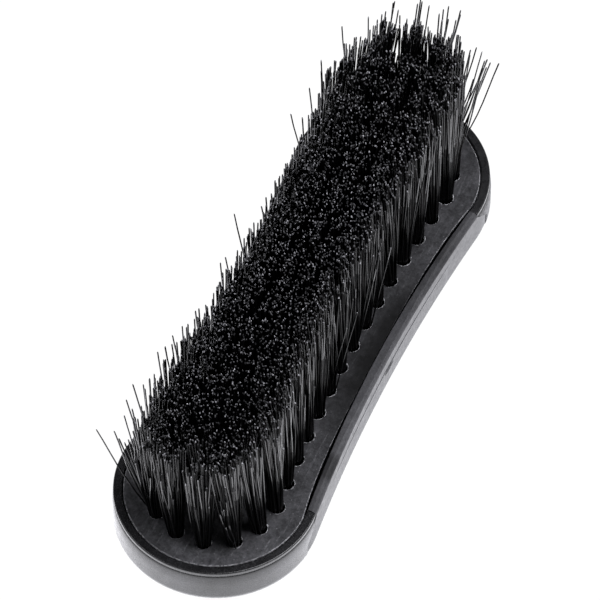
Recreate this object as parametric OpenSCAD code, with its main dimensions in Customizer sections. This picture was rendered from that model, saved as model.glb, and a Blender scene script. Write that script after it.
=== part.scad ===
/* Hand-held wheel brush with a peanut-shaped body.
   X runs along the body, Y across it and Z up through the bristles.
   The origin is the middle of the flat back, on which the brush stands. */

/* [Body] */
// Overall length of the body
body_length = 170; // [150:1:190]
// Width across each round end
end_width = 56; // [54:0.5:60]
// Width at the narrow waist, over the hard shell
waist_width = 49.3; // [47:0.1:52]
// Height of the body from its flat back to its rim
body_height = 17; // [16:0.5:20]
// Width of the rim around the tuft block
rim_width = 2.8; // [2.6:0.1:3.4]
// How far the rounded edge of the back runs in
round_in = 10; // [8:0.5:11]
// How far up the wall that rounded edge reaches
round_up = 7; // [6.5:0.5:8]
// Thickness of the floor of the shell
floor_thick = 3.4; // [3:0.1:4]

/* [Grip] */
// Thickness of the soft saddle on the wall
saddle_wall = 1; // [0.9:0.1:1.2]
// Thickness of the soft saddle on the back
saddle_back = 1.2; // [1:0.1:1.6]
// How far the saddle lies inside the wall of the shell
saddle_inset = 0.35; // [0.2:0.05:0.5]
// How far the saddle bulges out at the waist, on each side
saddle_bulge = 0.45; // [0:0.05:0.6]
// Half length of the saddle where it crosses the rim
saddle_rim_half = 54; // [46:1:58]
// Half length of the saddle low on the wall
saddle_wall_half = 60; // [58:1:62]
// Height at which the ends of the saddle start to slope back
saddle_slope_z = 10; // [8:0.5:12]
// Depth of the finger scoop at the waist
scoop_depth = 0.15; // [0.1:0.05:0.6]
// Half length of the finger scoop
scoop_half = 50; // [30:1:52]
// Height of the finger scoop down from the rim
scoop_height = 4.2; // [3:0.1:6]
// Radius of the hard pad that reaches into the saddle on the back
back_pad_r = 22; // [16:1:22]

/* [Tuft block] */
// Height of the block from its underside to its face
block_thick = 9.8; // [9:0.1:10]
// How far the face lies below the rim
face_drop = 0.4; // [0.2:0.1:1]
// Gap between the block and the shell
block_gap = 0.15; // [0.1:0.05:0.3]
// Bevel along the edge of the face
face_bevel = 0.5; // [0.2:0.1:0.8]

/* [Tufts] */
// Diameter of a tuft hole
hole_d = 4.6; // [4:0.1:4.8]
// Depth of a tuft hole
hole_depth = 7; // [6:0.5:7.5]
// Spacing of the cross rows
row_pitch = 8; // [7.6:0.1:8]
// How far the outer ring of holes lies inside the body's outline
ring_inset = 10.9; // [10.4:0.1:11.4]
// Length of the bristles above the face
trim_length = 38.4; // [30:0.2:45]
// Radius of a tuft at its tips
tip_r = 2.65; // [2.3:0.05:2.7]
// How far the end tufts lean outwards at their tips
end_lean = 4.3; // [0:0.1:5]
// How much narrower the tufts stand at their tips than at the face
tip_narrowing = 0.17; // [0:0.01:0.17]

/* [Anchors] */
// Length of the flat wire that pins a tuft in its hole
anchor_length = 5.2; // [5:0.1:5.4]
// Thickness of that wire
anchor_thick = 0.4; // [0.3:0.05:0.5]
// Height of that wire
anchor_height = 2; // [1.6:0.1:2.4]
// Height of the folded bristles under the anchor
fold_height = 0.8; // [0.6:0.1:1]

/* [Hidden] */
$fn = 96;

// The outline is two end arcs and two waist arcs that meet them tangentially.
end_r = end_width / 2;
end_x = body_length / 2 - end_r;
function arc_radius(half) = (end_x * end_x + half * half - end_r * end_r) / (2 * (end_r - half));
waist_half = waist_width / 2;
waist_r = arc_radius(waist_half);
waist_y = waist_half + waist_r;
grip_half = waist_half + saddle_bulge;
// Direction from an end centre to the place where its arc meets the waist arc
join_angle = atan2(waist_y, -end_x);
// The waist arcs run in a hair deeper, so that they cross the end arcs cleanly.
join_overlap = 0.03;
waist_fn = 900;

// The rounded edge of the back: a shallow dome, then a tighter turn into the wall
dome_power = 1.9;
dome_steps = 4;
turn_in = 3.2;
turn_up = 3.4;
turn_end = 52;
turn_steps = 4;

// Rim of the shell: the wall leans in a little, then comes a groove and a thin bead
lean_z = 11.5;
lean_in = 0.3;
groove_z = body_height - 1.75;
groove_in = 0.8;
groove_height = 0.6;
groove_slope = 0.15;
bead_in = 0.35;
bead_r = 0.4;

edge_steps = 3;
overcut = 1;

// Heights in the body
saddle_cap = 1;
saddle_proud = 0.3;
saddle_edge_r = 1.3;
saddle_top = body_height + saddle_proud;
face_z = body_height - face_drop;
block_z = face_z - block_thick;
hole_z = face_z - hole_depth;
tip_z = face_z + trim_length;
anchor_z = hole_z + fold_height;
// How far the sloping edge of the shell's floor runs in under the block
room_slope = 3.4;

// Snap lugs that hold the block in the shell
lug_xs = [-48, 0, 48];
lug_size = [6, 1.6, 1.6];
lug_z = block_z + 2;
lug_reach = 0.7;
lug_clear = 0.1;

// Ribs on the floor of the shell that carry the block
rib_thick = 1.6;
rib_half = 60;
rib_xs = [-44, -20, 4, 28, 52];
rib_y_half = 17;

// Pegs on those ribs that place the block
peg_xs = [-20, 28];
peg_r = 1.5;
peg_clear = 0.1;
peg_height = 2;

// Finger dimple in the middle of each scooped side
dimple_r = 12;
dimple_depth = 0.5;
dimple_height = 1.5;
dimple_drop = 5;

seam_gap = 0.1;
tuft_clear = 0.1;
tuft_root_r = hole_d / 2 - tuft_clear;
// The free part of a tuft starts inside the part that fills the hole.
root_sink = 0.6;
root_step = 0.15;
cross_row_half = 8;
// The tufts round the ends stand a little nearer to the outline.
end_ring_out = 0.5;
end_ring_r = end_r - ring_inset + end_ring_out;
end_ring_angles = [-40, -13.2, 13.2, 40];
row_count = 2 * cross_row_half + 3;

// A wall profile is a list of [inset from the outline, height], from the bottom up.
function rounded_foot(inset, foot_z) =
    let (
        meet_in = inset + turn_in * (1 - cos(turn_end)),
        meet_z = round_up - turn_up * sin(turn_end))
    concat(
        [for (i = [0 : dome_steps - 1])
            let (t = i / dome_steps)
            [round_in + (meet_in - round_in) * t,
             foot_z + (meet_z - foot_z) * pow(t, dome_power)]],
        [for (i = [0 : turn_steps])
            let (angle = turn_end * (1 - i / turn_steps))
            [inset + turn_in * (1 - cos(angle)), round_up - turn_up * sin(angle)]]);
function rounded_edge(inset, top_z, radius) =
    [for (i = [0 : edge_steps])
        let (angle = 90 * i / edge_steps)
        [inset + radius * (1 - cos(angle)), top_z - radius * (1 - sin(angle))]];

shell_profile = concat(
    rounded_foot(0, 0),
    [
        [0, lean_z],
        [lean_in, groove_z],
        [groove_in, groove_z + groove_slope],
        [groove_in, groove_z + groove_height - groove_slope],
        [bead_in, groove_z + groove_height]
    ],
    rounded_edge(bead_in, body_height, bead_r));
core_profile = concat(
    rounded_foot(saddle_inset + saddle_wall, saddle_back),
    [[saddle_inset + saddle_wall, body_height - saddle_cap]]);
saddle_profile = concat(
    rounded_foot(saddle_inset, 0),
    rounded_edge(saddle_inset, saddle_top, saddle_edge_r));
block_inset = rim_width + block_gap;
block_profile = [
    [block_inset, block_z],
    [block_inset, face_z - face_bevel],
    [block_inset + face_bevel, face_z]
];

function first_z(profile) = profile[0][1];
function last_z(profile) = profile[len(profile) - 1][1];
function last_inset(profile) = profile[len(profile) - 1][0];

// Half width of an inset copy of the outline at a place along the body
function outline_y(x, inset) =
    let (join_x = end_x + (end_r - inset) * cos(join_angle))
    abs(x) < join_x
        ? waist_y - sqrt(pow(waist_r + inset, 2) - x * x)
        : sqrt(pow(end_r - inset, 2) - pow(abs(x) - end_x, 2));

// Where each tuft of a row stands: rows 1 and 19 are the round ends.
function end_row(side) =
    [for (angle = end_ring_angles)
        [side * (end_x + end_ring_r * cos(angle)), end_ring_r * sin(angle)]];
function cross_row(x) =
    let (y = outline_y(x, ring_inset))
    [for (share = [-1, -0.5, 0, 0.5, 1]) [x, share * y]];
function row_places(row) =
    row == 1 ? end_row(-1)
    : row == row_count ? end_row(1)
    : cross_row((row - 2 - cross_row_half) * row_pitch);
function row_name(kind, row) = str(kind, row < 10 ? "0" : "", row);

// Where the tips of the tuft at a place come to
function tip_place(place) =
    let (reach = abs(place[0]) / (end_x + end_ring_r))
    [place[0] + sign(place[0]) * end_lean * pow(reach, 3), place[1] * (1 - tip_narrowing)];

// Solid with the body's outline whose wall follows a profile
module outline_solid(profile, half = waist_half) {
    arc_y = half + arc_radius(half);
    cutter_r = arc_y - half + join_overlap;
    for (side = [-1, 1])
        translate([side * end_x, 0, 0])
            rotate_extrude()
                polygon(concat(
                    [[0, first_z(profile)]],
                    [for (p = profile) [end_r - p[0], p[1]]],
                    [[0, last_z(profile)]]));
    difference() {
        translate([0, 0, first_z(profile)])
            linear_extrude(last_z(profile) - first_z(profile))
                polygon([[end_x, 0], [0, arc_y], [-end_x, 0], [0, -arc_y]]);
        for (side = [-1, 1])
            translate([0, side * arc_y, 0])
                rotate_extrude($fn = waist_fn)
                    polygon(concat(
                        [[0, first_z(profile) - overcut],
                         [cutter_r + profile[0][0], first_z(profile) - overcut]],
                        [for (p = profile) [cutter_r + p[0], p[1]]],
                        [[cutter_r + last_inset(profile), last_z(profile) + overcut],
                         [0, last_z(profile) + overcut]]));
    }
}

// Space inside the rim where the block sits, with a sloping edge to its floor
module block_room() {
    outline_solid([
        [rim_width + room_slope, floor_thick],
        [rim_width, block_z],
        [rim_width, saddle_top + overcut]
    ]);
}

// Stretch of the body that the saddle covers, without the hard pads on the back
module saddle_zone(grow) {
    rim_x = saddle_rim_half + grow;
    wall_x = saddle_wall_half + grow;
    difference() {
        rotate([90, 0, 0])
            linear_extrude(end_width + 2 * overcut, center = true)
                polygon([
                    [-wall_x, -overcut], [wall_x, -overcut], [wall_x, saddle_slope_z],
                    [rim_x, body_height - saddle_cap], [rim_x, saddle_top + overcut],
                    [-rim_x, saddle_top + overcut], [-rim_x, body_height - saddle_cap],
                    [-wall_x, saddle_slope_z]]);
        for (side = [-1, 1])
            translate([side * saddle_wall_half, 0, -overcut])
                cylinder(h = overcut + round_up, r = back_pad_r - grow);
    }
}

// The snap lugs, made larger all round for their pockets
module lugs(clear) {
    for (x = lug_xs, side = [-1, 1])
        translate([
            x - lug_size[0] / 2 - clear,
            side * (outline_y(x, block_inset - lug_reach - clear) - lug_size[1] / 2) - lug_size[1] / 2,
            lug_z - clear])
            cube([lug_size[0] + 2 * clear, lug_size[1], lug_size[2] + 2 * clear]);
}

module pegs(clear) {
    for (x = peg_xs, y = [-row_pitch / 2, row_pitch / 2])
        translate([x + row_pitch / 2, y, floor_thick])
            cylinder(h = block_z - floor_thick + peg_height + clear, r = peg_r + clear);
}

module ribs() {
    rib_height = block_z - floor_thick;
    for (y = [-row_pitch / 2, row_pitch / 2])
        translate([-rib_half, y - rib_thick / 2, floor_thick])
            cube([2 * rib_half, rib_thick, rib_height]);
    for (x = rib_xs)
        translate([x - rib_thick / 2, -rib_y_half, floor_thick])
            cube([rib_thick, 2 * rib_y_half, rib_height]);
}

module handle_shell() {
    color("#222325") {
        difference() {
            union() {
                difference() {
                    outline_solid(shell_profile);
                    saddle_zone(seam_gap);
                }
                outline_solid(core_profile);
            }
            block_room();
            lugs(lug_clear);
        }
        ribs();
        pegs(0);
    }
}

module grip_saddle() {
    // A large cylinder cuts a scoop that runs out at scoop_half on each side.
    scoop_r = 1 / (1 / arc_radius(grip_half) + 2 * scoop_depth / (scoop_half * scoop_half));
    wall_y = grip_half - saddle_inset;
    color("#3a3b3d")
        difference() {
            difference() {
                intersection() {
                    outline_solid(saddle_profile, grip_half);
                    saddle_zone(0);
                }
                outline_solid(core_profile);
            }
            block_room();
            for (side = [-1, 1]) {
                translate([0, side * (wall_y - scoop_depth + scoop_r), saddle_top - scoop_height])
                    cylinder(h = scoop_height + overcut, r = scoop_r, $fn = waist_fn);
                translate([0, side * (wall_y - dimple_depth + dimple_r), saddle_top - dimple_drop])
                    cylinder(h = dimple_height, r = dimple_r, center = true);
            }
        }
}

module tuft_block() {
    color("#303134")
        difference() {
            union() {
                outline_solid(block_profile);
                lugs(0);
            }
            for (row = [1 : row_count])
                for (place = row_places(row)) {
                    translate([place[0], place[1], hole_z])
                        cylinder(h = hole_depth + overcut, d = hole_d);
                    anchor(place);
                }
            pegs(peg_clear);
        }
}

// A tuft stands in its hole and leans and spreads a little towards its tips.
module tuft(place) {
    tip = tip_place(place);
    lean = [tip[0] - place[0], tip[1] - place[1]];
    tilt = atan2(norm(lean), trim_length);
    axis_length = norm([lean[0], lean[1], trim_length]);
    spread = (tip_r - tuft_root_r + root_step) / axis_length;
    difference() {
        union() {
            translate([place[0], place[1], hole_z])
                cylinder(h = hole_depth, r = tuft_root_r);
            translate([place[0], place[1], face_z])
                rotate([0, 0, atan2(lean[1], lean[0])])
                    rotate([0, tilt, 0])
                        translate([0, 0, -root_sink])
                            cylinder(
                                h = axis_length + root_sink + overcut,
                                r1 = tuft_root_r - root_step,
                                r2 = tip_r + spread * overcut);
        }
        translate([place[0] - end_r, place[1] - end_r, tip_z])
            cube([2 * end_r, 2 * end_r, 3 * overcut]);
        anchor(place);
    }
}

module anchor(place) {
    translate([place[0] - anchor_length / 2, place[1] - anchor_thick / 2, anchor_z])
        cube([anchor_length, anchor_thick, anchor_height]);
}

module tufts_row(row) {
    color("#101113")
        for (place = row_places(row))
            tuft(place);
}

module anchors_row(row) {
    color("#b9bbbe")
        for (place = row_places(row))
            anchor(place);
}

handle_shell();
grip_saddle();
tuft_block();
for (row = [1 : row_count]) {
    tufts_row(row);
    anchors_row(row);
}
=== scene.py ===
import math

import bpy
import numpy as np
from mathutils import Matrix, Vector


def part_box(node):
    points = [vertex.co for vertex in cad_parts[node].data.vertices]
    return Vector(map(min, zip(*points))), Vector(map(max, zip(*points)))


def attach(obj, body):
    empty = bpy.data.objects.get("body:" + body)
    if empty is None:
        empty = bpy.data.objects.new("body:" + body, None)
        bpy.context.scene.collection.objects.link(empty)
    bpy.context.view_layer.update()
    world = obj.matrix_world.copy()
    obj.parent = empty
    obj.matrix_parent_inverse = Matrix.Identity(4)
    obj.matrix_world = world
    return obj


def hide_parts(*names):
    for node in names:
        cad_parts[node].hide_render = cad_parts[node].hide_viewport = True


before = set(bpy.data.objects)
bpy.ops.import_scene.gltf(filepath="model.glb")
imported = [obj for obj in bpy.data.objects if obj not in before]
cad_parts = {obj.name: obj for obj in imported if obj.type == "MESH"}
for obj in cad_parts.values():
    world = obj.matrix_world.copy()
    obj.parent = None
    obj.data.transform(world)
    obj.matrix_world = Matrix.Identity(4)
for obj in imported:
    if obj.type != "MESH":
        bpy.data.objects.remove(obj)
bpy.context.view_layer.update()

MM = 0.001
BODY = "root"
shell_low, shell_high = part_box("handle_shell")
block_low, block_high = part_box("tuft_block")
saddle_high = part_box("grip_saddle")[1]
FACE_Z = block_high.z
scene = bpy.context.scene

# --- Camera -------------------------------------------------------------------------------

VIEW_AZIMUTH = math.radians(24.58)
VIEW_ELEVATION = math.radians(54.07)
VIEW_ROLL = math.radians(-0.37)
VIEW_DISTANCE = 1536.2 * MM
VIEW_CENTRE = Vector((8.02 * MM, 5.17 * MM, FACE_Z))
LENS_MM = 339.5
SENSOR_MM = 36


def add_camera():
    """The camera at the photo's viewing angle: a long lens, rolled by a fraction of a degree."""
    away = Vector((
        -math.cos(VIEW_AZIMUTH) * math.cos(VIEW_ELEVATION),
        -math.sin(VIEW_AZIMUTH) * math.cos(VIEW_ELEVATION),
        math.sin(VIEW_ELEVATION),
    ))
    right = (-away).cross(Vector((0, 0, 1))).normalized()
    up = right.cross(-away)
    turned_right = right * math.cos(VIEW_ROLL) + up * math.sin(VIEW_ROLL)
    turned_up = up * math.cos(VIEW_ROLL) - right * math.sin(VIEW_ROLL)
    data = bpy.data.cameras.new("camera")
    data.sensor_width = SENSOR_MM
    data.lens = LENS_MM
    data.clip_start = 0.05
    data.clip_end = 20
    camera = bpy.data.objects.new("camera", data)
    axes = Matrix((turned_right, turned_up, away)).transposed().to_4x4()
    camera.matrix_world = Matrix.Translation(VIEW_CENTRE + away * VIEW_DISTANCE) @ axes
    scene.collection.objects.link(camera)
    scene.camera = camera


# --- Materials ----------------------------------------------------------------------------


def fill_ramp(ramp, stops):
    """Sets the stops of a colour ramp: (place, grey) or (place, (red, green, blue))."""
    while len(ramp.elements) < len(stops):
        ramp.elements.new(0.5)
    for element, (place, value) in zip(ramp.elements, stops):
        element.position = place
        element.color = (*value, 1) if isinstance(value, tuple) else (value, value, value, 1)


class Shader:
    """A material with one Principled shader, and short ways to add its textures."""

    def __init__(self, name, **values):
        self.material = bpy.data.materials.new(name)
        self.material.use_nodes = True
        self.nodes = self.material.node_tree.nodes
        self.links = self.material.node_tree.links
        self.bsdf = self.nodes["Principled BSDF"]
        self.place = self.nodes.new("ShaderNodeTexCoord").outputs["Object"]
        for socket, value in values.items():
            self.bsdf.inputs[socket.replace("_", " ")].default_value = value

    def link(self, source, target):
        self.links.new(source, target)

    def noise(self, per_mm, detail=4, roughness=0.6, stretch=(1, 1, 1)):
        """A noise with that many features a millimetre."""
        mapping = self.nodes.new("ShaderNodeMapping")
        mapping.inputs["Scale"].default_value = [s / MM for s in stretch]
        texture = self.nodes.new("ShaderNodeTexNoise")
        texture.inputs["Scale"].default_value = per_mm
        texture.inputs["Detail"].default_value = detail
        texture.inputs["Roughness"].default_value = roughness
        self.link(self.place, mapping.inputs["Vector"])
        self.link(mapping.outputs["Vector"], texture.inputs["Vector"])
        return texture.outputs["Fac"]

    def along(self, axis, low_mm, high_mm):
        """Goes from 0 to 1 between two places on an axis of the object."""
        split = self.nodes.new("ShaderNodeSeparateXYZ")
        self.link(self.place, split.inputs["Vector"])
        reach = self.nodes.new("ShaderNodeMapRange")
        reach.inputs["From Min"].default_value = low_mm * MM
        reach.inputs["From Max"].default_value = high_mm * MM
        self.link(split.outputs[axis], reach.inputs["Value"])
        return reach.outputs["Result"]

    def waist_inset(self, low_mm, high_mm):
        """Goes from 0 to 1 between two distances in from the waist's outline."""
        fold = self.nodes.new("ShaderNodeVectorMath")
        fold.operation = "ABSOLUTE"
        self.link(self.place, fold.inputs[0])
        flat = self.nodes.new("ShaderNodeVectorMath")
        flat.operation = "MULTIPLY"
        flat.inputs[1].default_value = (1, 1, 0)
        self.link(fold.outputs["Vector"], flat.inputs[0])
        reach = self.nodes.new("ShaderNodeVectorMath")
        reach.operation = "DISTANCE"
        reach.inputs[1].default_value = (0, WAIST_Y, 0)
        self.link(flat.outputs["Vector"], reach.inputs[0])
        share = self.nodes.new("ShaderNodeMapRange")
        share.inputs["From Min"].default_value = WAIST_R + low_mm * MM
        share.inputs["From Max"].default_value = WAIST_R + high_mm * MM
        self.link(reach.outputs["Value"], share.inputs["Value"])
        return share.outputs["Result"]

    def attribute(self, name):
        """A number that the mesh holds for each face."""
        node = self.nodes.new("ShaderNodeAttribute")
        node.attribute_name = name
        return node.outputs["Fac"]

    def ramp(self, factor, *stops):
        """Turns a factor into greys or colours, by the stops of fill_ramp."""
        node = self.nodes.new("ShaderNodeValToRGB")
        fill_ramp(node.color_ramp, stops)
        self.link(factor, node.inputs["Fac"])
        return node.outputs["Color"]

    def combine(self, kind, first, second, amount=None):
        """Mixes or multiplies two colours, all over or by an amount."""
        node = self.nodes.new("ShaderNodeMixRGB")
        node.blend_type = kind
        node.inputs["Fac"].default_value = 1
        if amount is not None:
            self.link(amount, node.inputs["Fac"])
        self.link(first, node.inputs["Color1"])
        self.link(second, node.inputs["Color2"])
        return node.outputs["Color"]

    def colour(self, source):
        self.link(source, self.bsdf.inputs["Base Color"])

    def roughness(self, source):
        self.link(source, self.bsdf.inputs["Roughness"])

    def bump(self, height, depth_mm, strength=1.0, after=None):
        """Adds a bump of that depth, on top of an earlier one where there is one."""
        node = self.nodes.new("ShaderNodeBump")
        node.inputs["Strength"].default_value = strength
        node.inputs["Distance"].default_value = depth_mm * MM
        self.link(height, node.inputs["Height"])
        if after is not None:
            self.link(after, node.inputs["Normal"])
        self.link(node.outputs["Normal"], self.bsdf.inputs["Normal"])
        return node.outputs["Normal"]


# The body's reach on each axis, over which its materials change.
LENGTH_MM = (-85, 85)
WIDTH_MM = (-28, 28)
HEIGHT_MM = (0, 17)


def shell_plastic():
    """Near-black satin polypropylene: fine grain, flow marks, pale specks, a matt far end, and walls lighter
    at the sides: partly dusty, partly a painted reflection.
    """
    s = Shader("shell_plastic", Roughness=0.3, Specular_IOR_Level=0.5)
    marks = s.noise(0.11, 5, 0.7, (0.6, 1, 1))
    flow = s.ramp(marks, (0.32, (0.003, 0.003, 0.0033)), (0.68, (0.018, 0.018, 0.0195)))
    specks = s.ramp(s.noise(1.6, 6, 0.75), (0.55, 1.0), (0.74, 3.4))
    plain = s.combine("MULTIPLY", flow, specks)
    # Painted reflection of the white surroundings, partly dusty bloom: the walls are lighter towards each
    # side.
    haze_and_painted_reflection = s.ramp(s.along("Y", *WIDTH_MM), (0.0, 3.8), (0.17, 2.1), (0.3, 1.4), (0.8, 3.8))
    wall = s.ramp(s.along("Z", *HEIGHT_MM), (0.8, 1.0), (0.88, 0.0))
    s.colour(s.combine("MULTIPLY", plain, haze_and_painted_reflection, wall))
    rough = s.ramp(s.noise(0.9, 6, 0.75), (0.3, 0.33), (0.7, 0.8))
    far_end = s.ramp(s.along("X", *LENGTH_MM), (0.72, 0.0), (0.84, 1.0))
    below_rim = s.ramp(s.along("Z", *HEIGHT_MM), (0.93, 1.0), (0.97, 0.25))
    share = s.ramp(s.combine("MULTIPLY", far_end, below_rim), (0.0, 0.45), (1.0, 1.0))
    s.roughness(s.combine("MULTIPLY", rough, share))
    s.bump(s.noise(2.6, 4, 0.6), 0.05, 0.8)
    return s.material


def grip_rubber():
    """Charcoal thermoplastic rubber: fine upright ribbing, a dusty bloom, and lighter and darker bands along
    the rim top.
    """
    s = Shader("grip_rubber", Roughness=0.45, Specular_IOR_Level=0.25)
    bloom = s.ramp(s.noise(0.2, 5, 0.7), (0.3, (0.042, 0.042, 0.0448)), (0.72, (0.072, 0.072, 0.0768)))
    grain = s.ramp(s.noise(1.8, 5, 0.75), (0.3, 0.6), (0.72, 1.5))
    # Lighter and darker bands along X, on the rim top only.
    rim_bands = s.ramp(s.along("X", -60, 60), (0.135, 1.0), (0.15, 0.4), (0.2, 0.45), (0.215, 1.1), (0.3, 1.32),
                     (0.45, 1.05), (0.6, 0.98), (0.77, 0.68), (0.8, 0.45), (0.83, 0.65), (0.95, 0.9))
    top = s.ramp(s.along("Z", *HEIGHT_MM), (0.9, 0.0), (0.95, 1.0))
    s.colour(s.combine("MULTIPLY", s.combine("MULTIPLY", bloom, grain), rim_bands, top))
    s.roughness(s.ramp(s.noise(0.9, 5, 0.7), (0.3, 0.34), (0.7, 0.52)))
    ribs = s.bump(s.noise(2.4, 2, 0.5, (1, 1, 0.08)), 0.03, 0.5)
    s.bump(s.noise(3.5, 3, 0.6), 0.03, 0.5, ribs)
    return s.material


def block_plastic():
    """Charcoal moulded block: mottled, dusty, scuffed, lighter towards the near end, pale on its edges from
    wear and a painted highlight, with painted shade beside the saddle and down its sides.
    """
    s = Shader("block_plastic", Roughness=0.45, Specular_IOR_Level=0.2)
    mottle = s.ramp(s.noise(0.14, 6, 0.7), (0.3, (0.021, 0.021, 0.0224)), (0.7, (0.062, 0.062, 0.066)))
    grain = s.ramp(s.noise(0.7, 7, 0.85), (0.36, 0.45), (0.66, 1.8))
    dust = s.ramp(s.noise(1.5, 3, 0.6), (0.66, 1.0), (0.74, 4.0))
    scuffs = s.ramp(s.noise(0.3, 5, 0.65, (0.3, 2.6, 1)), (0.58, 1.0), (0.72, 2.4))
    # Pale edges and hole lips: partly wear, partly a painted highlight.
    wear_and_highlight = s.ramp(s.noise(1.2, 5, 0.8), (0.42, (0.03, 0.03, 0.03)), (0.58, (0.85, 0.85, 0.88)))
    # Painted shadow: darker next to the saddle at the waist, as if shaded by its raised rim.
    saddle_shadow = s.ramp(s.waist_inset(3.2, 12), (0.0, 0.04), (0.35, 0.22), (0.7, 0.6), (1.0, 1.0))
    middle = s.ramp(s.along("X", -60, 60), (0.2, 0.0), (0.4, 1.0), (0.64, 1.0), (0.8, 0.0))
    face = s.combine("MULTIPLY", s.combine("MULTIPLY", mottle, grain), s.combine("MULTIPLY", scuffs, dust))
    face = s.combine("MULTIPLY", face, saddle_shadow, middle)
    near_end = s.ramp(s.along("X", -80, 80), (0.0, 1.55), (0.14, 1.15), (0.3, 1.0))
    face = s.combine("MULTIPLY", face, near_end)
    face = s.combine("MIX", face, wear_and_highlight, s.attribute("edge"))
    # Painted shade: near-black on the block's sides below the face, down in the gap.
    depth = s.ramp(s.along("Z", FACE_Z / MM - 0.55, FACE_Z / MM - 0.28), (0.0, 0.03), (1.0, 1.0))
    s.colour(s.combine("MULTIPLY", face, depth))
    s.roughness(s.ramp(s.noise(0.5, 5, 0.7), (0.3, 0.36), (0.7, 0.58)))
    s.bump(s.noise(1.2, 7, 0.75), 0.08, 0.7)
    return s.material


def bristle_material(name, specular, dark, pale):
    """Black drawn filament, a little different from one to the next."""
    s = Shader(name, Roughness=0.2, Specular_IOR_Level=specular)
    s.colour(s.ramp(s.attribute("shade"), (0.0, (dark, dark, 1.07 * dark)), (1.0, (pale, pale, 1.07 * pale))))
    drawn = s.ramp(s.noise(0.6, 3, 0.6, (1, 1, 0.2)), (0.3, 0.8), (0.7, 1.2))
    own = s.ramp(s.attribute("shade"), (0.0, 0.34), (0.5, 0.2), (1.0, 0.1))
    s.roughness(s.combine("MULTIPLY", own, drawn))
    return s.material


def bristle_side():
    """The glossy upper part of a filament."""
    return bristle_material("bristle_side", 0.5, 0.001, 0.007)


def bristle_shaded_root():
    """The lower part of a filament, darker and duller: painted shade between the tufts."""
    return bristle_material("bristle_shaded_root", 0.07, 0.0005, 0.0015)


def bristle_tip():
    """Cut ends: most stay black; the pale ones are partly whitened by the trimming, partly painted glints."""
    s = Shader("bristle_tip", Roughness=0.35)
    s.colour(s.ramp(
        s.attribute("shade"),
        (0.0, (0.016, 0.016, 0.0172)), (0.62, (0.045, 0.045, 0.0482)),
        (0.78, (0.1, 0.1, 0.107)), (1.0, (0.34, 0.34, 0.36))))
    s.roughness(s.ramp(s.noise(5.0, 2, 0.6), (0.3, 0.25), (0.7, 0.5)))
    return s.material


def anchor_wire():
    """Plain flat galvanised wire with fine drawing lines."""
    s = Shader("anchor_wire", Metallic=1.0, Roughness=0.35)
    s.colour(s.ramp(s.noise(1.2, 4, 0.6), (0.3, (0.46, 0.46, 0.48)), (0.7, (0.66, 0.66, 0.67))))
    s.roughness(s.ramp(s.noise(6.0, 3, 0.6, (0.1, 1, 1)), (0.3, 0.28), (0.7, 0.5)))
    return s.material


def floor_white():
    """White light table: it glows, so that no shadow falls on it."""
    s = Shader("floor_white", Roughness=0.9, Specular_IOR_Level=0.0)
    s.bsdf.inputs["Emission Color"].default_value = (1, 1, 1, 1)
    s.bsdf.inputs["Emission Strength"].default_value = 1.0
    s.colour(s.ramp(s.noise(0.02, 2, 0.5), (0.3, 0.03), (0.7, 0.05)))
    return s.material


# --- The outline of the body --------------------------------------------------------------

END_R = (shell_high.y - shell_low.y) / 2
END_X = shell_high.x - END_R
RIM_Z = shell_high.z
WAIST_HALF = 24.65 * MM
WAIST_R = (END_X ** 2 + WAIST_HALF ** 2 - END_R ** 2) / (2 * (END_R - WAIST_HALF))
WAIST_Y = WAIST_HALF + WAIST_R
END_ARC = math.atan2(WAIST_Y, -END_X)
WAIST_ARC = END_ARC - math.pi / 2
OUTLINE_STEP = 1.0 * MM

BLOCK_INSET = shell_high.x - block_high.x
RIM_WIDTH = BLOCK_INSET - 0.15 * MM
ROUND_IN = 10 * MM
WALL_Z = 7 * MM
WAIST_BULGE = 0.38 * MM


def outline_stations():
    """Arc centres, directions, radii and the sign that an inset has, once round the outline."""
    end_count = round(2 * END_ARC * END_R / OUTLINE_STEP)
    waist_count = round(2 * WAIST_ARC * WAIST_R / OUTLINE_STEP)
    stations = []
    for side in (1, -1):
        for i in range(end_count):
            angle = -END_ARC + 2 * END_ARC * i / end_count
            stations.append((side * END_X, 0, side * math.cos(angle), side * math.sin(angle), END_R, -1))
        for i in range(waist_count):
            angle = WAIST_ARC - 2 * WAIST_ARC * i / waist_count
            stations.append((0, side * WAIST_Y, side * math.sin(angle), -side * math.cos(angle), WAIST_R, 1))
    return np.array(stations)


STATIONS = outline_stations()


def outline_ring(inset, z, waist_out=0, sides_in=0):
    """The outline moved in: waist_out moves its waist out again, sides_in its sides in beside the waist."""
    centre, direction = STATIONS[:, 0:2], STATIONS[:, 2:4]
    radius, sign = STATIONS[:, 4], STATIONS[:, 5]
    place_x = centre[:, 0] + direction[:, 0] * radius
    near_waist = np.clip(1 - (place_x / END_X) ** 2, 0, 1)
    inset = inset - waist_out * near_waist + sides_in * 4 * near_waist * (1 - near_waist)
    flat = centre + direction * (radius + sign * inset)[:, None]
    return np.column_stack([flat, np.full(len(flat), z)])


def arc(centre, radius, start, end, steps):
    """Points of a profile along an arc: centre is (inset, z), angles are in degrees."""
    points = []
    for i in range(steps + 1):
        angle = math.radians(start + (end - start) * i / steps)
        points.append((centre[0] + radius * math.cos(angle), centre[1] + radius * math.sin(angle)))
    return points


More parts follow.
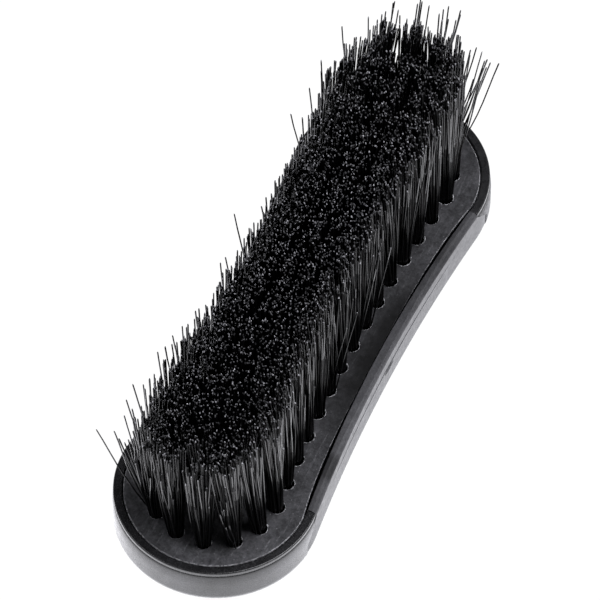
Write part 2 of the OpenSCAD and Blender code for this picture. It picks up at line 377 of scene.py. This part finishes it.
def rounded_foot(inset, foot_z):
    """The lower edge, from the flat back up to the wall: a shallow dome, then a tighter turn."""
    turn_in, turn_up, turn_end = 3.2 * MM, 3.4 * MM, math.radians(52)
    dome_power = 1.9
    turn = [
        (inset + turn_in * (1 - math.cos(a)), WALL_Z - turn_up * math.sin(a))
        for a in np.linspace(turn_end, 0, 12)
    ]
    meet_in, meet_z = turn[0]
    dome = [
        (ROUND_IN + (meet_in - ROUND_IN) * t, foot_z + (meet_z - foot_z) * t ** dome_power)
        for t in np.linspace(0, 1, 12)[:-1]
    ]
    return dome + turn


# --- Mesh helpers -------------------------------------------------------------------------


def new_object(name, vertices, faces):
    """A mesh object at the origin."""
    mesh = bpy.data.meshes.new(name)
    mesh.from_pydata([tuple(v) for v in vertices], [], faces)
    mesh.validate()
    piece = bpy.data.objects.new(name, mesh)
    scene.collection.objects.link(piece)
    return piece


def loft(name, rings):
    """Closed solid through rings of equal length, with a flat face at each end."""
    count = len(rings[0])
    faces = []
    for level in range(len(rings) - 1):
        low, high = level * count, (level + 1) * count
        for i in range(count):
            j = (i + 1) % count
            faces.append((low + i, low + j, high + j, high + i))
    faces.append(tuple(reversed(range(count))))
    faces.append(tuple(range((len(rings) - 1) * count, len(rings) * count)))
    return new_object(name, np.vstack(rings), faces)


def outline_solid(name, profile):
    """Solid with the body's outline: profile holds what outline_ring takes, from the bottom up."""
    return loft(name, [outline_ring(*point) for point in profile])


def lathe(name, profile, centre, segments, jitter=None):
    """Closed solid of revolution about an upright axis.

    The profile is (radius, z) from the bottom up, and jitter adds to the radii of each level, in mm.
    """
    turns = np.linspace(0, 2 * math.pi, segments, endpoint=False)
    rings = []
    for level, (radius, z) in enumerate(profile):
        radii = np.full(segments, radius)
        if jitter is not None:
            radii = radii + jitter[level] * MM
        rings.append(np.column_stack([
            centre[0] + radii * np.cos(turns), centre[1] + radii * np.sin(turns), np.full(segments, z)]))
    return loft(name, rings)


def prism(name, corners, low_y, high_y):
    """Solid between two Y planes with the given X, Z corners."""
    rings = [np.array([(x, y, z) for x, z in corners]) for y in (high_y, low_y)]
    return loft(name, rings)


def joined(name, pieces):
    """One mesh that holds several separate closed solids."""
    vertices, faces, start = [], [], 0
    for piece in pieces:
        vertices += [tuple(v.co) for v in piece.data.vertices]
        faces += [tuple(start + i for i in f.vertices) for f in piece.data.polygons]
        start = len(vertices)
        discard(piece)
    return new_object(name, vertices, faces)


def discard(piece):
    """Removes an object and its mesh."""
    mesh = piece.data
    bpy.data.objects.remove(piece)
    bpy.data.meshes.remove(mesh)


def bake_modifiers(piece):
    """Applies all modifiers to the mesh."""
    bpy.context.view_layer.update()
    evaluated = piece.evaluated_get(bpy.context.evaluated_depsgraph_get())
    fresh = bpy.data.meshes.new_from_object(evaluated)
    stale = piece.data
    piece.modifiers.clear()
    piece.data = fresh
    bpy.data.meshes.remove(stale)


def cut(piece, operation, tool):
    """Joins, cuts or keeps what two solids share, and removes the tool."""
    modifier = piece.modifiers.new("cut", "BOOLEAN")
    modifier.operation = operation
    modifier.solver = "EXACT"
    modifier.object = tool
    bake_modifiers(piece)
    discard(tool)
    return piece


def finish_surface(piece, material, sharp_degrees=35):
    """Smooth shading that keeps true edges, with flat faces kept flat."""
    piece.data.materials.clear()
    piece.data.materials.append(material)
    piece.data.shade_smooth()
    piece.data.set_sharp_from_angle(angle=math.radians(sharp_degrees))
    weights = piece.modifiers.new("weights", "WEIGHTED_NORMAL")
    weights.keep_sharp = True
    bake_modifiers(piece)


def install(piece, slot, *nodes):
    """Puts a piece in the place of CAD nodes, on the one body."""
    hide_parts(*nodes)
    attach(piece, BODY)


# --- The shell and the soft saddle --------------------------------------------------------

SADDLE_TOP = saddle_high.z
SADDLE_WALL_HALF = saddle_high.x
SADDLE_RIM_HALF = 54 * MM
SADDLE_CAP = 1 * MM
SADDLE_SLOPE_Z = 10 * MM
SADDLE_INSET = 0.22 * MM
SADDLE_WALL = 1 * MM
SADDLE_BACK = 1.2 * MM
PAD_R = 22 * MM
SEAM_GAP = 0.16 * MM
FLOOR_Z = 3.4 * MM
FLOOR_SLOPE = 3.4 * MM
MARGIN = 2 * MM
SCOOP_DEPTH = 0.15 * MM
SCOOP_HALF = 50 * MM
SCOOP_HEIGHT = 4.2 * MM
DIMPLE_R = 9 * MM
DIMPLE_DEPTH = 0.45 * MM
DIMPLE_DROP = 5 * MM
DIMPLE_HALF_HEIGHT = 0.9 * MM
ROUND_SEGMENTS = 160
SCOOP_SEGMENTS = 2400


def core_solid(name):
    """The part of the shell that lies under the saddle."""
    inset = SADDLE_INSET + SADDLE_WALL
    return outline_solid(name, rounded_foot(inset, SADDLE_BACK) + [(inset, RIM_Z - SADDLE_CAP)])


def block_room(name, waist_out=0):
    """The well for the tuft block, with a small flare where it meets the rim."""
    flare = 0.3 * MM
    profile = [
        (RIM_WIDTH + FLOOR_SLOPE, FLOOR_Z),
        (RIM_WIDTH, block_low.z),
        *arc((RIM_WIDTH - flare, RIM_Z - flare), flare, 0, 90, 5),
        (RIM_WIDTH - flare, RIM_Z + MARGIN),
    ]
    return outline_solid(name, [(inset, z, waist_out) for inset, z in profile])


def saddle_zone(name, grow):
    """The stretch that the saddle covers, less the hard pads on the back, made larger by grow."""
    rim_x, wall_x = SADDLE_RIM_HALF + grow, SADDLE_WALL_HALF + grow
    cap_z = RIM_Z - SADDLE_CAP
    zone = prism(name, [
        (-wall_x, -MARGIN), (wall_x, -MARGIN), (wall_x, SADDLE_SLOPE_Z), (rim_x, cap_z),
        (rim_x, RIM_Z + MARGIN), (-rim_x, RIM_Z + MARGIN), (-rim_x, cap_z), (-wall_x, SADDLE_SLOPE_Z),
    ], -END_R - MARGIN, END_R + MARGIN)
    pad = [(PAD_R - grow, -2 * MARGIN), (PAD_R - grow, WALL_Z)]
    pads = [lathe("pad", pad, (side * SADDLE_WALL_HALF, 0), ROUND_SEGMENTS) for side in (1, -1)]
    return cut(zone, "DIFFERENCE", joined("pads", pads))


def shell_profile():
    """Rounded foot, a wall that leans in near the top, a groove and a thin bead round the rim."""
    lean_from, lean_to, lean_in = 11.5 * MM, 15.1 * MM, 0.3 * MM
    wall = [(lean_in * t * t, lean_from + (lean_to - lean_from) * t) for t in np.linspace(0, 1, 8)]
    bead_in, bead_r = 0.35 * MM, 0.4 * MM
    groove_in = 0.49 * MM
    return (
        rounded_foot(0, 0)
        + wall
        + [(groove_in, lean_to + 0.2 * MM), (groove_in, lean_to + 0.6 * MM), (bead_in, lean_to + 0.8 * MM)]
        + arc((bead_in + bead_r, RIM_Z - bead_r), bead_r, 180, 90, 6)
    )


def saddle_profile():
    """Rounded foot, a wall that bulges a little at the waist, and a shoulder that widens beside it."""
    high, wide, wider = 1.2 * MM, 1.1 * MM, 0.65 * MM
    flatness = 1.4
    profile = [(inset, z, WAIST_BULGE, 0) for inset, z in rounded_foot(SADDLE_INSET, 0)]
    for angle in np.linspace(0, math.pi / 2, 11):
        inward = 1 - math.cos(angle) ** flatness
        down = 1 - math.sin(angle) ** flatness
        inset, z = SADDLE_INSET + wide * inward, SADDLE_TOP - high * down
        profile.append((inset, z, WAIST_BULGE, wider * inward))
    return profile


def make_shell(material):
    """The shell: open where the saddle lies, solid under it, with the well for the block."""
    shell = outline_solid("shell", shell_profile())
    cut(shell, "DIFFERENCE", saddle_zone("zone", SEAM_GAP))
    cut(shell, "UNION", core_solid("core"))
    cut(shell, "DIFFERENCE", block_room("room"))
    finish_surface(shell, material)
    install(shell, "shell_plastic", "handle_shell")


def finger_cuts():
    """Cutting tools for the finger scoop and the dimple of each side."""
    wall_y = WAIST_HALF + WAIST_BULGE - SADDLE_INSET
    grip_r = 1 / (1 / WAIST_R - 2 * WAIST_BULGE / END_X ** 2)
    scoop_r = 1 / (1 / grip_r + 2 * SCOOP_DEPTH / SCOOP_HALF ** 2)
    low = SADDLE_TOP - SCOOP_HEIGHT
    heel = scoop_r - 0.03 * MM
    step = 0.1 * MM
    dimple_z = SADDLE_TOP - DIMPLE_DROP
    tools = []
    for side in (1, -1):
        scoop_y = side * (wall_y - SCOOP_DEPTH + scoop_r)
        profile = [
            (heel - step, low),
            (heel, low + step),
            (scoop_r, SADDLE_TOP - 1 * MM),
            (scoop_r, SADDLE_TOP + MARGIN),
        ]
        tools.append(lathe("scoop", profile, (0, scoop_y), SCOOP_SEGMENTS))
        profile = [
            (DIMPLE_R - DIMPLE_DEPTH, dimple_z - DIMPLE_HALF_HEIGHT),
            (DIMPLE_R, dimple_z - 0.3 * DIMPLE_HALF_HEIGHT),
            (DIMPLE_R, dimple_z + 0.3 * DIMPLE_HALF_HEIGHT),
            (DIMPLE_R - DIMPLE_DEPTH, dimple_z + DIMPLE_HALF_HEIGHT),
        ]
        dimple_y = side * (wall_y - DIMPLE_DEPTH + DIMPLE_R)
        tools.append(lathe("dimple", profile, (0, dimple_y), ROUND_SEGMENTS))
    return tools


def make_saddle(material):
    """The soft saddle, round the waist from rim to rim."""
    saddle = outline_solid("saddle", saddle_profile())
    cut(saddle, "INTERSECT", saddle_zone("zone", 0))
    cut(saddle, "DIFFERENCE", core_solid("core"))
    cut(saddle, "DIFFERENCE", block_room("room", -WAIST_BULGE))
    for tool in finger_cuts():
        cut(saddle, "DIFFERENCE", tool)
    finish_surface(saddle, material)
    install(saddle, "grip_rubber", "grip_saddle")


# --- The tuft block -----------------------------------------------------------------------

HOLE_R = 2.1 * MM
HOLE_DEPTH = 7 * MM
HOLE_SEGMENTS = 40
BLOCK_EDGE = 0.35 * MM
EDGE_TURN = 0.85
# How much further in than the CAD block it stands: all round, and more at the waist and beside it.
END_GAP = 0.12 * MM
WAIST_GAP = 0.03 * MM
SIDE_GAP = 0.62 * MM
# The edge's pale paint grows from none at the waist to full at this X.
WEAR_AND_HIGHLIGHT_X = 34 * MM
LIP_WIDTH = 0.55 * MM
LIP_DROP = 0.2 * MM
LIP_RAGGED_MM = 0.1
# How pale the lips and the end edges are painted: partly wear, partly a painted highlight.
LIP_WEAR_AND_HIGHLIGHT = 0.75
EDGE_WEAR_AND_HIGHLIGHT = 0.38
ROW_COUNT = sum(name.startswith("tufts_row_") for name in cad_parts)


def node_points(node):
    """All vertices of a CAD node."""
    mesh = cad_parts[node].data
    points = np.zeros(len(mesh.vertices) * 3)
    mesh.vertices.foreach_get("co", points)
    return points.reshape(-1, 3)


def anchor_places(row):
    """Where the holes of a row are: the middles of its anchors, which lie side by side along Y."""
    points = node_points(f"anchors_row_{row:02d}")
    points = points[np.argsort(points[:, 1])]
    breaks = np.flatnonzero(np.diff(points[:, 1]) > 3 * MM) + 1
    groups = np.split(points, breaks)
    return [(g.min(0) + g.max(0))[:2] / 2 for g in groups]


def hole_tool(place, rng):
    """A hole with a rounded, slightly ragged lip."""
    lip = [(HOLE_R + LIP_WIDTH * (1 - math.cos(a)), FACE_Z - LIP_DROP * (1 - math.sin(a)))
           for a in np.linspace(0, math.pi / 2, 5)]
    profile = [(HOLE_R, FACE_Z - HOLE_DEPTH)] + lip + [(HOLE_R + LIP_WIDTH, FACE_Z + MARGIN)]
    ragged = np.convolve(rng.normal(0, LIP_RAGGED_MM, HOLE_SEGMENTS), (0.25, 0.5, 0.25), "same")
    jitter = [0 * ragged, 0 * ragged] + [ragged * (i + 1) / 5 for i in range(len(lip) - 1)] + [ragged]
    return lathe("hole", profile, place, HOLE_SEGMENTS, jitter)


def mark_edges(block):
    """Marks the lips of the holes and the outer edge of the round ends, to be painted pale: partly wear,
    partly a painted highlight.
    """
    edge = block.data.attributes.new("edge", "FLOAT", "FACE")
    zone = 1 * MM
    inner_end = END_R - BLOCK_INSET - zone
    inner_waist = WAIST_HALF - BLOCK_INSET - zone
    values = []
    for face in block.data.polygons:
        x, y, z = face.center
        wear_and_highlight = 0.1 < face.normal.z < 0.97 and z > FACE_Z - BLOCK_EDGE
        past_end = max(0, abs(x) - END_X)
        on_lip = math.hypot(past_end, y) < inner_end and abs(y) < inner_waist
        past_waist = min(1, (x / WEAR_AND_HIGHLIGHT_X) ** 2)
        values.append(0.0 if not wear_and_highlight else LIP_WEAR_AND_HIGHLIGHT if on_lip else EDGE_WEAR_AND_HIGHLIGHT * past_waist)
    edge.data.foreach_set("value", values)


def block_profile():
    """Upright sides and a rounded edge, which hardly turns in at the waist, where the gap is narrow."""
    side_in = BLOCK_INSET + END_GAP
    edge = arc((side_in + BLOCK_EDGE, FACE_Z - BLOCK_EDGE), BLOCK_EDGE, 180, 90, 8)
    turned = [0, *np.linspace(0, EDGE_TURN, len(edge))]
    return [
        (inset, z, turn * BLOCK_EDGE - WAIST_GAP - EDGE_TURN * BLOCK_EDGE, SIDE_GAP)
        for (inset, z), turn in zip([(side_in, block_low.z)] + edge, turned)
    ]


def make_block(material):
    """The tuft block, with all its holes cut as one."""
    rng = np.random.default_rng(11)
    block = outline_solid("block", block_profile())
    holes = [hole_tool(place, rng) for row in range(1, ROW_COUNT + 1) for place in anchor_places(row)]
    cut(block, "DIFFERENCE", joined("holes", holes))
    mark_edges(block)
    finish_surface(block, material)
    install(block, "block_plastic", "tuft_block")


# --- The bristles -------------------------------------------------------------------------

FILAMENT_R = 0.215 * MM
FILAMENTS = 76
SIDES = 6
RINGS = 10
ROOT, SIDE, TIP = range(3)
# How far up the painted shade of the root reaches, and how many filaments it covers all the way.
SHADE_REACH, SHADE_REACH_WAIST, SHADE_REACH_NEAR, SHADE_SPREAD = 0.46, 0.34, 0.14, 0.07
ALL_SHADED, ALL_SHADED_WAIST, ALL_SHADED_NEAR, ALL_SHADED_FAR = 0.16, 0.28, 0.25, 0.15
ROOT_R = 1.74 * MM
ROOT_SINK = 2.5 * MM
TRIM = 37.6 * MM
ROW_HALF = 4.0 * MM
NEAR_EDGE, OUTER_EDGE = 1.0, 0.75
DISC_SHAKE = 0.03
CLUMPS = 9
CLUMP_SHIFT = 0.6 * MM
TIP_SCATTER = 0.55 * MM
TRIM_SPREAD = 0.45 * MM
SPLAY_SHARE, SPLAY_OUTSIDE = 0.05, 0.14
SPLAY_MEAN_MM, SPLAY_MOST_MM = 2.4, 8.5
SPLAY_SIDEWAYS = 1.5 * MM
BROKEN_SHARE, BROKEN_LONGEST, BROKEN_SPREAD = 0.73, 0.99, 0.52
BEFORE_TIP = 0.992
BEND_POWER = 0.92
SWAY = 0.35 * MM
LEAST_RISE = 0.6
TIP_GIRTH = 0.72
TIP_TILT = 0.35
FURTHEST_X = shell_high.x + 4.8 * MM
LONGEST = 39.7 * MM

# Tufts that lean more than the trimmed shape does: (row, place in row): (x, y) in mm.
BENT_TUFTS = {
    (19, 1): (1.0, -0.6), (19, 2): (1.5, 0.0), (19, 3): (2.0, -1.0), (19, 4): (1.9, 0.8),
    (1, 1): (1.0, -0.3), (1, 2): (1.0, 0.0), (1, 3): (1.0, 0.0), (1, 4): (0.6, 0.5),
}


def tuft_tips(row, places):
    """Where the CAD tufts of a row have their tips."""
    beside, across = 4 * MM, 5.6 * MM
    points = node_points(f"tufts_row_{row:02d}")
    top = points[points[:, 2] > points[:, 2].max() - 0.1 * MM]
    tips = []
    for place in places:
        near = top[np.abs(top[:, 1] - place[1]) < beside]
        near = near[np.argsort(np.linalg.norm(near[:, :2] - place, axis=1))]
        group = near[np.linalg.norm(near[:, :2] - near[0, :2], axis=1) < across]
        tips.append((group.min(0) + group.max(0))[:2] / 2)
    return tips


def disc_points(count, rng):
    """Evenly spread places in a unit disc, a little shaken."""
    i = np.arange(count) + 0.5
    radius, angle = np.sqrt(i / count), i * math.pi * (3 - math.sqrt(5))
    points = np.column_stack([radius * np.cos(angle), radius * np.sin(angle)])
    return points + rng.normal(0, DISC_SHAKE, points.shape)


def disc_to_square(points):
    """Moves places in a disc out into a square, so that neighbouring tufts meet at their tips."""
    reach = np.maximum(np.linalg.norm(points, axis=1), 1e-6)
    widest = np.maximum(np.abs(points).max(1), 1e-6)
    return points * (reach / widest)[:, None]


# Bundles of strays: (row, place in row, how many, x and y of the tips from the hole, length) in mm.
STRAYS = (
    (19, 4, 5, 12.0, -0.8, 40.5), (19, 3, 5, 14.0, 0.4, 41.0), (19, 2, 4, 12.6, 1.5, 41.0),
    (19, 2, 4, 12.4, -3.0, 41.0), (19, 1, 4, 11.0, 1.2, 40.0), (19, 1, 4, 8.0, -5.5, 40.0),
    (19, 1, 5, 6.0, -9.6, 40.0), (18, 1, 2, 6.5, -4.5, 39.0), (1, 4, 1, -4.7, 13.4, 38.2),
    (1, 4, 1, -4.0, 8.5, 37.8), (1, 4, 4, -3.5, 6.0, 37.5), (2, 5, 4, -2.0, 5.0, 37.5),
)


def outward(place):
    """Direction out of the brush: square to the sides, and radial round the ends."""
    x, y = place
    straight_to = END_X * 0.9
    direction = np.array([math.copysign(max(0, abs(x) - straight_to), x), y + 1e-6])
    return direction / np.linalg.norm(direction)


def clump_shifts(disc, rng):
    """Shifts shared by filaments that stick together."""
    centres = disc_points(CLUMPS, rng) * 0.9
    nearest = np.linalg.norm(disc[:, None] - centres[None], axis=2).argmin(1)
    return rng.normal(0, CLUMP_SHIFT, (CLUMPS, 2))[nearest]


def tuft_filaments(place, tip, half, edge, rng):
    """Roots, leans and lengths of one tuft: edge says how far it is on the outside."""
    disc = disc_points(FILAMENTS, rng)
    count = len(disc)
    root = place + disc * ROOT_R
    target = tip + disc_to_square(disc) * half + clump_shifts(disc, rng)
    target += rng.normal(0, TIP_SCATTER, disc.shape)
    length = TRIM + rng.normal(0, TRIM_SPREAD, count)
    out = outward(place)
    along = np.array([-out[1], out[0]])
    outside = np.clip(disc @ out, 0, 1) * edge
    splayed = rng.random(count) < edge * (SPLAY_SHARE + SPLAY_OUTSIDE * outside)
    reach = np.minimum(rng.exponential(SPLAY_MEAN_MM, count), SPLAY_MOST_MM) * MM
    sideways = rng.normal(0, SPLAY_SIDEWAYS, count)
    target += (splayed * reach)[:, None] * out + (splayed * sideways)[:, None] * along
    broken = rng.random(count) < BROKEN_SHARE * outside * edge
    shortest = BROKEN_LONGEST - BROKEN_SPREAD * edge
    length *= np.where(broken, rng.uniform(shortest, BROKEN_LONGEST, count), 1)
    lean = (target - root) * np.where(broken, rng.uniform(0.8, 1.1, count), 1)[:, None]
    return root, lean, length


def stray_filaments(place, tuft, rng):
    """The bundles of strays of one tuft: those of several filaments are loosened at random."""
    lean_spread, length_spread = 1.1 * MM, 0.8 * MM
    found = []
    for row, column, count, x, y, length in STRAYS:
        if (row, column) == tuft:
            root = place + disc_points(count, rng) * ROOT_R * 0.8
            loose = 0 if count == 1 else 1
            lean = np.array([x, y]) * MM + loose * rng.normal(0, lean_spread, root.shape)
            found.append((root, lean, length * MM + loose * rng.normal(0, length_spread, count)))
    return found


def filament_vertices(roots, leans, lengths, tilts, rng):
    """Vertices of six-sided filaments, a little bent, with slanted cut ends."""
    count = len(roots)
    leans[:, 0] = np.clip(roots[:, 0] + leans[:, 0], -FURTHEST_X, FURTHEST_X) - roots[:, 0]
    t = np.append(np.linspace(0, 1, RINGS - 1) * BEFORE_TIP, 1.0)
    bend = t ** BEND_POWER
    sway = rng.normal(0, SWAY, (count, 2))
    wave = np.sin(t * math.pi) ** 2
    flat = (roots[:, None, :] + leans[:, None, :] * bend[None, :, None]
            + sway[:, None, :] * wave[None, :, None])
    sideways = np.linalg.norm(leans, axis=1)
    rise = np.sqrt(np.maximum(lengths ** 2 - sideways ** 2, (LEAST_RISE * lengths) ** 2))
    rise = np.minimum(rise, LONGEST)
    z = FACE_Z - ROOT_SINK + t[None, :] * (rise + ROOT_SINK)[:, None]
    turn = rng.uniform(0, 2 * math.pi, count)
    angles = turn[:, None] + np.arange(SIDES)[None, :] * 2 * math.pi / SIDES
    ring = np.stack([np.cos(angles), np.sin(angles)], axis=-1) * FILAMENT_R
    girth = np.ones(RINGS)
    girth[-1] = TIP_GIRTH
    vertices = np.zeros((count, RINGS, SIDES, 3))
    vertices[..., :2] = flat[:, :, None, :] + ring[:, None, :, :] * girth[None, :, None, None]
    vertices[..., 2] = z[:, :, None]
    slant = (ring * tilts[:, None, :]).sum(-1)
    vertices[:, -2:, :, 2] += slant[:, None, :]
    return vertices.reshape(-1, 3)


def filament_faces(count):
    """Faces of that many filaments: all the sides first, then the cut ends, then the feet."""
    first = np.arange(count)[:, None] * RINGS * SIDES
    around = np.arange(SIDES)
    low = first[:, :, None] + np.arange(RINGS - 1)[None, :, None] * SIDES
    high = low + SIDES
    after = (around + 1) % SIDES
    sides = np.stack([low + around, low + after, high + after, high + around], axis=-1).reshape(-1, 4)
    ends = first + (RINGS - 1) * SIDES + around
    feet = first + around[::-1]
    return sides.tolist() + ends.tolist() + feet.tolist()


def shaded_levels(count, row):
    """Up to which ring each filament takes the painted shade of the root: half way, more at the waist and
    near end, or all the way.
    """
    rng = np.random.default_rng(row)
    middle = (1 - ((2 * row - ROW_COUNT - 1) / (ROW_COUNT - 1)) ** 2) ** 2
    near = 1 if row == 1 else 0
    reach = SHADE_REACH + SHADE_REACH_WAIST * middle + SHADE_REACH_NEAR * near
    levels = np.clip(np.round(rng.normal(reach, SHADE_SPREAD, count) * (RINGS - 1)), 1, RINGS - 2)
    all_shaded = ALL_SHADED + ALL_SHADED_FAR * row / ROW_COUNT + ALL_SHADED_WAIST * middle + ALL_SHADED_NEAR * near
    return np.where(rng.random(count) < all_shaded, RINGS - 2, levels)


def row_filaments(row, rng):
    """Roots, leans and lengths of all the filaments of a row."""
    places = anchor_places(row)
    tips = tuft_tips(row, places)
    last = len(places) - 1
    round_end = row == ROW_COUNT
    half = np.array([ROW_HALF, (tips[-1][1] - tips[0][1]) / last / 2])
    tufts = []
    for i, (place, tip) in enumerate(zip(places, tips)):
        tip = tip + np.array(BENT_TUFTS.get((row, i + 1), (0, 0))) * MM
        edge = NEAR_EDGE if row == 1 else OUTER_EDGE if round_end or i in (0, last) else 0.0
        tufts.append(tuft_filaments(place, tip, half, edge, rng))
        tufts += stray_filaments(place, (row, i + 1), rng)
    return [np.concatenate(column) for column in zip(*tufts)]


def mark_filaments(mesh, count, row, shades):
    """Gives each face its material, its smoothness and its filament's shade."""
    per_filament = (RINGS - 1) * SIDES
    level = np.tile(np.repeat(np.arange(RINGS - 1), SIDES), count)
    shaded_to = np.repeat(shaded_levels(count, row), per_filament)
    # Rings below a filament's shaded level take the root material, which is painted shade.
    sides = np.where(level == RINGS - 2, TIP, np.where(level < shaded_to, ROOT, SIDE))
    parts = np.concatenate([sides, np.full(count, TIP), np.full(count, ROOT)])
    smooth = np.concatenate([np.ones(len(level), bool), np.zeros(2 * count, bool)])
    mesh.polygons.foreach_set("material_index", parts.astype(np.int32))
    mesh.polygons.foreach_set("use_smooth", smooth)
    shade = mesh.attributes.new("shade", "FLOAT", "FACE")
    shade.data.foreach_set("value", np.concatenate([np.repeat(shades, per_filament), shades, shades]))


def make_bristle_row(row, materials, rng):
    """All the filaments of a cross row, as one mesh."""
    roots, leans, lengths = row_filaments(row, rng)
    count = len(roots)
    tilts = rng.normal(0, TIP_TILT, roots.shape)
    shades = rng.uniform(0, 1, count)
    vertices = filament_vertices(roots, leans, lengths, tilts, rng)
    name = f"bristles_row_{row:02d}"
    mesh = bpy.data.meshes.new(name)
    mesh.from_pydata(vertices.tolist(), [], filament_faces(count))
    for material in materials:
        mesh.materials.append(material)
    mark_filaments(mesh, count, row, shades)
    piece = bpy.data.objects.new(name, mesh)
    scene.collection.objects.link(piece)
    install(piece, "bristle", f"tufts_row_{row:02d}")


def make_bristles(*materials):
    rng = np.random.default_rng(7)
    for row in range(1, ROW_COUNT + 1):
        make_bristle_row(row, materials, rng)


def dress_anchors(material):
    """Gives the CAD anchors, which keep their shape, their material."""
    for name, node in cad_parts.items():
        if name.startswith("anchors_row_"):
            node.data.materials.clear()
            node.data.materials.append(material)


# --- Stage --------------------------------------------------------------------------------


def add_floor(material):
    """A plain floor just below the brush, seen by the camera only, so that it throws no light back."""
    half, low = 3.0, -0.1 * MM
    corners = [(-half, -half, low), (half, -half, low), (half, half, low), (-half, half, low)]
    floor = new_object("floor", corners, [(0, 1, 2, 3)])
    floor.data.materials.append(material)
    floor.visible_diffuse = floor.visible_glossy = floor.visible_shadow = False


def add_world():
    """Studio surroundings: the bright table below, white at the horizon and dark overhead."""
    world = bpy.data.worlds.new("studio")
    scene.world = world
    world.use_nodes = True
    nodes, links = world.node_tree.nodes, world.node_tree.links
    background = nodes["Background"]
    coordinate = nodes.new("ShaderNodeTexCoord")
    split = nodes.new("ShaderNodeSeparateXYZ")
    reach = nodes.new("ShaderNodeMapRange")
    reach.inputs["From Min"].default_value = -1
    ramp = nodes.new("ShaderNodeValToRGB")
    stops = ((0.49, 1.0), (0.5, 0.48), (0.56, 0.38), (0.65, 0.072), (0.8, 0.0144))
    fill_ramp(ramp.color_ramp, [(place, (0.96 * value, 0.96 * value, value)) for place, value in stops])
    links.new(coordinate.outputs["Generated"], split.inputs["Vector"])
    links.new(split.outputs["Z"], reach.inputs["Value"])
    links.new(reach.outputs["Result"], ramp.inputs["Fac"])
    links.new(ramp.outputs["Color"], background.inputs["Color"])
    background.inputs["Strength"].default_value = 2.5


def add_softbox(name, turn, height, distance, size, radiance):
    """A square softbox: turn and height are angles of its place, in degrees."""
    turn, height = math.radians(turn), math.radians(height)
    away = Vector((
        math.cos(turn) * math.cos(height), math.sin(turn) * math.cos(height), math.sin(height)))
    data = bpy.data.lights.new(name, "AREA")
    data.shape = "SQUARE"
    data.size = size
    data.energy = radiance * math.pi * size * size
    data.color = (0.985, 0.985, 1.03)
    light = bpy.data.objects.new(name, data)
    light.location = away * distance
    light.rotation_mode = "QUATERNION"
    light.rotation_quaternion = away.to_track_quat("Z", "Y")
    scene.collection.objects.link(light)


add_camera()
make_shell(shell_plastic())
make_saddle(grip_rubber())
make_block(block_plastic())
make_bristles(bristle_shaded_root(), bristle_side(), bristle_tip())
dress_anchors(anchor_wire())
add_floor(floor_white())
add_world()
add_softbox("softbox_left", turn=110, height=55, distance=1.2, size=0.6, radiance=3)
add_softbox("softbox_right", turn=286, height=68, distance=1.2, size=0.8, radiance=7.5)
scene.view_settings.view_transform = "Standard"
